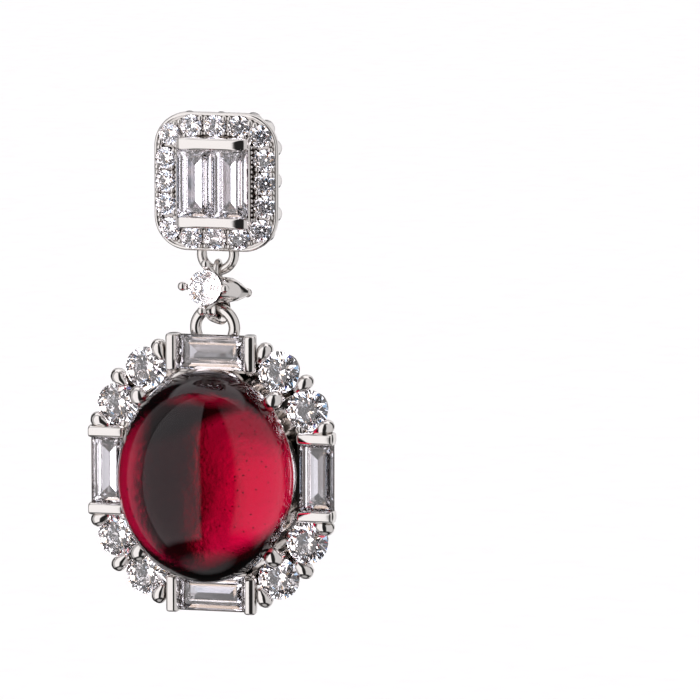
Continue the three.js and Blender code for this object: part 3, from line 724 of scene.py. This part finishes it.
def joinTo(bm, part, *moves):
    for move in moves:
        bmesh.ops.transform(part, matrix=move, verts=part.verts)
    flat = bpy.data.meshes.new("joined")
    part.to_mesh(flat)
    part.free()
    bm.from_mesh(flat)
    bpy.data.meshes.remove(flat)


def drawEyes(bm):
    k = link
    below = (hinge["drop_swing"] - hinge["link_swing"]) / mm
    lower = Vector((below.x, below.z, -below.y))
    waist = intoBasket() @ Vector((0, 0, k["waist"]))
    wire, upper = k["upperWire"], Vector((0, 0, 0))
    reach = loopWire["wire"] + k["upperGap"] + wire
    torus(bm, upper, reach, wire, "x", 16, 40)
    foot = upper + (waist - upper).normalized() * reach
    tube(bm, [foot, (foot + waist) / 2, waist], [wire, k["stem"], k["stem"]])
    strap(bm, lower)
    leaf = bmesh.new()
    foot = lower + (waist - lower).normalized() * k["strapMiddle"][0]
    tube(leaf, bend(waist, (waist + foot) / 2, foot, 6), k["leaf"], 24)
    joinTo(bm, leaf, Matrix.Diagonal((k["leafWidth"], 1, 1, 1)))
    apron = bmesh.new()  # the basket's broad tail, hanging behind the bail
    pillow(apron, k["apron"], (0, 0, 0), k["apronOutline"], k["apronCrown"], 48, 14)
    joinTo(bm, apron, Matrix.Rotation(math.radians(k["apronTurn"]), 4, "Z"),
           Matrix.Rotation(math.radians(-k["apronLean"]), 4, "Y"), Matrix.Translation(k["apronPlace"]))


def makeLink():
    for name, draw in {"link_basket": drawBasket, "link_prongs": drawProngs, "link_eyes": drawEyes}.items():
        addPiece(name, meshOf(draw, centres["link"]), "link", silver, ["link_setting"])
    coat(frame["nodes"]["link_stone"], clearStone)


makeLink()
print("link done")


# drop: a ruby cabochon on an oval wall, in a halo of eight round and four step-cut stones

drop = {
    "backZ": -1.75, "plate": 0.45, "plateWidth": 5.95, "plateHeight": 6.75, "squareness": 2.6,
    "wallWidth": 4.95, "wallHeight": 5.95, "wall": 0.5, "wallTop": 1.02,
    "rounds": [(3.85, 5.85), (5.5, 3.75)], "roundHole": 0.5, "cupBack": 0.8, "cupFront": 1.06,
    "cupTop": -0.25, "bailRise": 8.16, "bailDepth": -0.62, "bailOpen": -22,  # where the bail's ends sink in
}
baguette = {
    "width": 2.0, "length": 3.86, "sideX": 6.06, "endY": 6.86, "seat": -0.12, "barApart": 2.2,
    "barWidth": 0.72, "barLength": 2.06, "barFront": 0.78, "barBack": -0.45, "barSection": 3.2,
    "barEnd": [(0.86, 1), (0.93, 0.97), (0.98, 0.9), (1, 0.8)],  # how far along, and share of the section
    "leanLeft": -5, "leanRight": 11,
    # the trough: how far its walls stand past the stone's edge, inwards and outwards, and how far its
    # hollow draws in at each height
    "walls": [(0.2, -0.75), (0.2, -0.14), (0.17, -0.17)],
    "hollow": [(0.03, -0.12), (0.21, -0.36), (0.56, -0.66)],
}
claw = {  # the shares of a wire run from foot to tip
    "outer": [(3.1, 7.12), (5.46, 5.38), (6.66, 2.86)], "outerWire": 0.42, "outerFront": 0.62,
    "outerFoot": 1.3, "outerTip": 0.62, "outerShares": (0.7, 0.75, 0.95, 1, 1.02, 1, 0.84, 0.5),
    "outerShoulder": 0.55, "outerKnee": (0.4, -0.9),
    "inner": [(2.2, 5.86), (5.1, 2.62)], "innerWire": 0.3, "innerFront": 0.35,
    "cabochon": (3.98, 4.54), "tip": (3.72, 4.24), "cabochonWire": 0.5, "cabochonFront": 1.98,
    "cabochonKnee": 0.6, "cabochonBend": 0.75, "cabochonShares": (0.75, 0.82, 0.9, 0.95, 1, 1, 0.98, 0.92),
}
dome = {
    "halfWidth": 5.0, "halfHeight": 6.0, "height": 4.8, "girdle": 1.06, "edge": 0.18, "squareness": 2.15,
    # share of the width, and height over the girdle, from the flat back round its edge
    "foot": [(0.5, 0), (0.95, 0), (0.975, 0.012), (0.992, 0.05), (1, 0.12)],
}


def baguetteTurns():
    b = baguette
    return [(0, b["endY"], math.pi / 2), (b["sideX"], 0, 0), (0, -b["endY"], -math.pi / 2),
            (-b["sideX"], 0, math.pi)]


def carve(bm, cutters):
    # takes a second solid out of the first
    meshes = [bpy.data.meshes.new("body"), bpy.data.meshes.new("cutter")]
    for mesh, source in zip(meshes, (bm, cutters)):
        bmesh.ops.recalc_face_normals(source, faces=source.faces)
        source.to_mesh(mesh)
    body, cutter = (bpy.data.objects.new("carved", mesh) for mesh in meshes)
    bpy.context.scene.collection.objects.link(body)
    modifier = body.modifiers.new("cut", "BOOLEAN")
    modifier.operation, modifier.solver, modifier.object = "DIFFERENCE", "EXACT", cutter
    result = builtMesh(body)
    bm.clear()
    bm.from_mesh(result)
    cutters.free()
    bpy.data.objects.remove(body)
    bpy.data.objects.remove(cutter)
    for mesh in (*meshes, result):
        bpy.data.meshes.remove(mesh)


def drawBackPlate(bm):
    d, back = drop, drop["backZ"]
    front = back + d["plate"]
    rings = []
    edge = ((0.1, 0), (0.03, 0.03), (0, 0.1))  # a small rounding: how far in, and how far from the face
    profile = [(inset, front - deep) for inset, deep in edge]
    for inset, z in profile + [(inset, back + deep) for inset, deep in edge[::-1]]:
        rings.append(oval(d["plateWidth"] - inset, d["plateHeight"] - inset, z, d["squareness"]))
    inner = (d["wallWidth"] - d["wall"], d["wallHeight"] - d["wall"])
    rings += [oval(*inner, back), oval(*inner, front)]
    skin(bm, rings, loop=True)
    cutters, through = bmesh.new(), (back - 0.2, front + 0.2)
    for x, y in [spot for place in d["rounds"] for spot in quadrants(*place)]:
        skin(cutters, [[p + Vector((x, y, 0)) for p in circle(d["roundHole"], z, 24)] for z in through])
    for x, y, turn in baguetteTurns():
        place = Matrix.Translation((x, y, 0)) @ Matrix.Rotation(turn, 4, "Z")
        half = (baguette["width"] / 2 - 0.5, baguette["length"] / 2 - 0.5)
        skin(cutters, [[place @ p for p in roundedRectangle(*half, 0.1, z, 3)] for z in through])
    carve(bm, cutters)


def drawWall(bm):
    d = drop
    rings = []
    for inset, z in ((0.06, d["wallTop"]), (0, d["wallTop"] - 0.06), (0, d["backZ"] + 0.05),
                     (d["wall"], d["backZ"] + 0.05), (d["wall"], d["wallTop"])):
        rings.append(oval(d["wallWidth"] - inset, d["wallHeight"] - inset, z))
    skin(bm, rings, loop=True)


def drawCup(bm):
    back, outer, top, hole = drop["backZ"] + 0.1, drop["cupFront"], drop["cupTop"], drop["roundHole"]
    lathe(bm, [(drop["cupBack"], back), (outer - 0.03, top - 0.1), (outer, top - 0.03), (outer - 0.03, top),
               (hole, -0.76), (hole, back)], 40, loop=True)


def drawTrough(bm):
    # open frame under a step-cut stone, its outer wall drawn in towards the back
    b, back = baguette, drop["backZ"] + 0.1
    half, long = b["width"] / 2, b["length"] / 2

    def ring(inner, outer, reach, z):
        corners = ((outer, -reach), (outer, reach), (-inner, reach), (-inner, -reach))
        return [Vector((x, y, z)) for x, y in corners]

    rings = []
    for (inner, outer), z in zip(b["walls"], (back, b["seat"] - 0.03, b["seat"])):
        rings.append(ring(half + inner, half + outer, b["barApart"], z))
    for inset, z in b["hollow"]:
        rings.append(ring(half - inset, half - max(inset, 0.2), long - inset, z))
    rings.append(ring(half - inset, half - 0.8, long - inset, back))
    skin(bm, rings, loop=True)


def drawBar(bm):
    # a short bar with rounded sides, its ends filed round
    b = baguette
    half, middle = b["barLength"] / 2, (b["barFront"] + b["barBack"]) / 2
    height = b["barFront"] - b["barBack"]
    rings = [[Vector((-half, 0, middle))]]
    for along, share in [(-along, share) for along, share in b["barEnd"][::-1]] + b["barEnd"]:
        section = oval(b["barWidth"] / 2 * share, height / 2 * share, 0, b["barSection"], 32)
        rings.append([Vector((along * half, p.x, middle + p.y)) for p in section])
    skin(bm, rings + [[Vector((half, 0, middle))]])


def drawOuterClaw(bm):
    c = claw
    foot, shoulder, (knee, kneeZ) = drop["backZ"] + 0.33, c["outerFront"] - c["outerShoulder"], c["outerKnee"]
    path = [(-c["outerFoot"], 0, foot), (-c["outerFoot"] * knee, 0, kneeZ), (-0.02, 0, shoulder - 0.2)]
    path += bend((0, 0, shoulder), (0, 0, shoulder + 0.32), (-c["outerTip"], 0, c["outerFront"] - 0.26), 4)
    tube(bm, path, [c["outerWire"] * share for share in c["outerShares"]], 20)


def drawInnerClaw(bm):
    wire, top = claw["innerWire"], claw["innerFront"]
    foot = drop["backZ"] + 0.3
    tube(bm, [(0, 0, foot), (0, 0, top - 1.8 * wire), (0, 0, top - wire)], [wire * 0.8, wire * 0.8, wire])


def drawCabochonClaws(bm):
    c, wire = claw, claw["cabochonWire"]
    heights = (drop["backZ"] + 0.43, c["cabochonKnee"], c["cabochonFront"] - c["cabochonBend"])
    for foot, tip in zip(quadrants(*c["cabochon"]), quadrants(*c["tip"])):
        lower, knee, end = (Vector((*foot, z)) for z in heights)
        path = [lower, knee] + bend(end, end + Vector((0, 0, 0.35)), (*tip, c["cabochonFront"] - wire), 5)
        tube(bm, path, [wire * share for share in c["cabochonShares"]], 24)


def drawBail(bm):
    # an open ring, its two ends soldered into the frame over the top stone
    first, count, ring = math.radians(drop["bailOpen"]), 48, bailWire["ring"]
    sweep = [first + (math.pi - 2 * first) * i / count for i in range(count + 1)]
    path = [(ring * math.cos(a), drop["bailRise"] + ring * math.sin(a), drop["bailDepth"]) for a in sweep]
    tube(bm, path, [bailWire["wire"]] * len(path), 24)


def drawDome(bm):
    d, steps = dome, 40
    base = d["girdle"]
    rings = [[Vector((0, 0, base))]]
    for share, z in d["foot"]:
        rings.append(oval(d["halfWidth"] * share, d["halfHeight"] * share, base + z))
    for i in range(steps):
        a = i / steps * math.pi / 2
        share = math.cos(a) ** (2 / d["squareness"])
        z = d["edge"] + (d["height"] - d["edge"]) * math.sin(a) ** (2 / d["squareness"])
        rings.append(oval(d["halfWidth"] * share, d["halfHeight"] * share, base + z))
    skin(bm, rings + [[Vector((0, 0, base + d["height"]))]])


def ringPlaces(points):
    spots = [spot for place in points for spot in quadrants(*place)]
    return [(x, y, 0, math.atan2(y, x)) for x, y in spots]


def makeDrop():
    origin = centres["drop"]
    metal = {"drop_back_plate": (drawBackPlate, 15), "drop_cabochon_wall": (drawWall, 15),
             "drop_cabochon_claws": (drawCabochonClaws, 38), "drop_bail": (drawBail, 38)}
    for name, (draw, angle) in metal.items():
        addPiece(name, meshOf(draw, origin, angle), "drop", silver, ["drop_frame"])
    troughs = [(x, y, 0, turn) for x, y, turn in baguetteTurns()]
    bars = []
    for x, y, turn in baguetteTurns():
        for side in (-1, 1):
            step = side * baguette["barApart"]
            barX = x - math.sin(turn) * step
            lean = math.radians(baguette["leanRight" if barX > 0 else "leanLeft"]) * math.sin(turn)
            bars.append((barX, y + math.cos(turn) * step, 0, turn, lean))
    repeated = {
        "drop_cups": (drawCup, ringPlaces(drop["rounds"])),
        "drop_troughs": (drawTrough, troughs),
        "drop_bars": (drawBar, bars),
        "drop_outer_claws": (drawOuterClaw, ringPlaces(claw["outer"])),
        "drop_inner_claws": (drawInnerClaw, ringPlaces(claw["inner"])),
    }
    for name, (draw, places) in repeated.items():
        setParts(name, draw, places, "drop", silver, "metal", ["drop_frame"])
    stone = addPiece("cabochon_dome", meshOf(drawDome, origin), "drop", redStone, ["cabochon"])
    stone.data.materials.append(foil)
    for face in stone.data.polygons:
        face.material_index = int(face.normal.y > 0.99)  # the flat back, which faces +Y
    for name, node in frame["nodes"].items():
        if name.startswith(("drop_round", "drop_baguette")):
            coat(node, stepStone if "baguette" in name else clearStone)


makeDrop()
print("drop done")


# stage: pale floor, soft studio light and the camera

studio = {
    "cameraTurn": 14.0, "cameraRise": 8.0, "distance": 436 * mm, "lens": 400, "sensor": 36,
    "forward": 1.5 * mm, "aside": 7.41 * mm, "below": 9.47 * mm, "floorDrop": 34 * mm, "floorSize": 6.0,
    "backdrop": 1.15, "gap": 0.02, "throughGap": 0.05,
    "fire": 0.012, "warmth": (1.0, 0.98, 0.99),
}
board = {"tones": ("#fbfafa", "#fefefe"), "grain": 0.0025, "roughness": 0.9}
# panels of the tent: azimuth from and to in degrees (0 is the front, + to the right), height from
# and to (0 level, 1 overhead), softness of the edge, brightness
mirroredPanels = (
    (-70, -1, -0.77, 0.96, 0.03, 1.02),
    (-105, -70, -0.74, 0.93, 0.05, 0.48),
    (44, 132, -0.7, 0.9, 0.08, 0.64),
    (158, 190, -0.7, 0.8, 0.03, 0.8),
    (-190, -174, -0.7, 0.8, 0.03, 0.8),
    (-158, -138, -0.7, 0.8, 0.03, 0.5),
    (-174, -158, 0.05, 0.8, 0.03, 0.6),
    (100, 190, 0.74, 1.1, 0.03, 1.1),
    (-190, -100, 0.74, 1.1, 0.03, 1.1),
    (-190, 190, 0.985, 1.1, 0.01, 0.55),
    (-190, 190, -1.1, -0.93, 0.04, 0.45),
    (126, 162, -0.6, -0.2, 0.04, 0.5),
)
throughPanels = (  # what light meets that has passed through a stone
    (-132, -15, -0.8, 0.9, 0.05, 2.5),
    (-132, -26, -0.5, 0.64, 0.2, 5.8),
    (-32, -15, 0.15, 0.55, 0.1, 4.2),
    (34, 138, -0.75, 0.9, 0.07, 3.0),
    (138, 190, -0.5, 0.6, 0.08, 1.0),
    (-190, 190, 0.88, 1.1, 0.04, 3.2),
    (-150, 150, -1.1, -0.82, 0.05, 2.6),
)


def makeCamera():
    s = studio
    turn, rise = math.radians(s["cameraTurn"]), math.radians(s["cameraRise"])
    back = Vector((math.sin(turn) * math.cos(rise), -math.cos(turn) * math.cos(rise), math.sin(rise)))
    right = Vector((math.cos(turn), math.sin(turn), 0))
    up = back.cross(right)
    target = Vector((0, -s["forward"], 0)) + right * s["aside"] - up * s["below"]
    data = bpy.data.cameras.new("camera")
    data.lens, data.sensor_width, data.clip_start, data.clip_end = s["lens"], s["sensor"], 0.01, 50
    camera = bpy.data.objects.new("camera", data)
    camera.location = target + back * s["distance"]
    camera.rotation_euler = back.to_track_quat("Z", "Y").to_euler()
    bpy.context.scene.collection.objects.link(camera)
    bpy.context.scene.camera = camera


def makeFloor():
    bm = bmesh.new()
    half, z = studio["floorSize"] / 2, cadBox[0].z - studio["floorDrop"]
    bm.faces.new([bm.verts.new((x * half, y * half, z)) for x, y in ((-1, -1), (1, -1), (1, 1), (-1, 1))])
    mesh = bpy.data.meshes.new("floor")
    bm.to_mesh(mesh)
    bm.free()
    # cardboard, coated matt white: takes soft shadows and shows no shine
    material, tree, shader, place = startMaterial("matt white board", Roughness=board["roughness"])
    grain = addNode(tree, "ShaderNodeTexNoise", {"Vector": place, "Scale": 1 / board["grain"], "Detail": 2.0})
    low, high = (toLinear(code) for code in board["tones"])
    colour = addNode(tree, "ShaderNodeValToRGB", {"Fac": grain.outputs[0]}, ((0.3, low), (0.7, high)))
    tree.links.new(colour.outputs["Color"], shader.inputs["Base Color"])
    mesh.materials.append(material)
    floor = bpy.data.objects.new("floor", mesh)
    bpy.context.scene.collection.objects.link(floor)
    floor.visible_glossy = False  # the tent below the earring is what the metal mirrors
    floor.visible_transmission = False


def between(tree, value, low, high, soft):
    # 1 inside the two limits, 0 outside, with a soft edge
    rise = addNode(tree, "ShaderNodeMapRange",
                   {"Value": value, "From Min": low - soft, "From Max": low + soft}).outputs[0]
    fall = addNode(tree, "ShaderNodeMapRange",
                   {"Value": value, "From Min": high + soft, "From Max": high - soft}).outputs[0]
    return addNode(tree, "ShaderNodeMath", {0: rise, 1: fall}, operation="MULTIPLY").outputs[0]


def tentLevel(tree, turn, height, panels, gap):
    level = None
    for turnLow, turnHigh, low, high, soft, bright in panels:
        wide = between(tree, turn, math.radians(turnLow), math.radians(turnHigh), soft)
        tall = between(tree, height, low, high, soft)
        patch = addNode(tree, "ShaderNodeMath", {0: wide, 1: tall}, operation="MULTIPLY").outputs[0]
        glow = addNode(tree, "ShaderNodeMath", {0: patch, 1: bright}, operation="MULTIPLY").outputs[0]
        level = addNode(tree, "ShaderNodeMath", {0: glow, 1: gap if level is None else level},
                        operation="MAXIMUM").outputs[0]
    return level


def makeWorld():
    # a white tent with a dark slot where the camera looks in; light that has passed through a stone meets
    # a second set of panels, which is brighter
    world = bpy.data.worlds.new("studio tent")
    bpy.context.scene.world = world
    world.use_nodes = True
    tree = world.node_tree
    tree.nodes.clear()
    direction = addNode(tree, "ShaderNodeTexCoord").outputs["Generated"]
    parts = addNode(tree, "ShaderNodeSeparateXYZ", {0: direction}).outputs
    front = addNode(tree, "ShaderNodeMath", {0: parts["Y"], 1: -1.0}, operation="MULTIPLY").outputs[0]
    turn = addNode(tree, "ShaderNodeMath", {0: parts["X"], 1: front}, operation="ARCTAN2").outputs[0]
    mirrored = tentLevel(tree, turn, parts["Z"], mirroredPanels, studio["gap"])
    path = addNode(tree, "ShaderNodeLightPath").outputs
    plain = addNode(tree, "ShaderNodeMath", {0: path["Is Camera Ray"], 1: path["Is Diffuse Ray"]},
                    operation="MAXIMUM").outputs[0]  # the view past the panels, and what lights the board
    shares = []
    for share, warmth in zip((-1, 0, 1), studio["warmth"]):
        # a stone spreads the colours, so each sees the panels a little to one side
        shift = share * studio["fire"]
        bent = addNode(tree, "ShaderNodeMath", {0: turn, 1: shift}, operation="ADD").outputs[0]
        paintedShade = addNode(tree, "ShaderNodeMath", {0: parts["Z"], 1: shift / 2}, operation="ADD").outputs[0]
        through = tentLevel(tree, bent, paintedShade, throughPanels, studio["throughGap"])
        level = addNode(tree, "ShaderNodeMix",
                        {0: path["Is Transmission Ray"], 2: mirrored, 3: through}).outputs[0]
        shown = addNode(tree, "ShaderNodeMix", {0: plain, 2: level, 3: studio["backdrop"]}).outputs[0]
        shares.append(addNode(tree, "ShaderNodeMath", {0: shown, 1: warmth}, operation="MULTIPLY").outputs[0])
    colour = addNode(tree, "ShaderNodeCombineColor", dict(enumerate(shares))).outputs[0]
    sky = addNode(tree, "ShaderNodeBackground", {"Color": colour})
    addNode(tree, "ShaderNodeOutputWorld", {"Surface": sky.outputs[0]})


makeCamera()
makeFloor()
makeWorld()
scene = bpy.context.scene
scene.view_settings.view_transform = "Standard"
scene.cycles.max_bounces = 16  # light turns many times inside a cut stone
scene.cycles.glossy_bounces = 12
scene.cycles.transmission_bounces = 14
print("stage done")
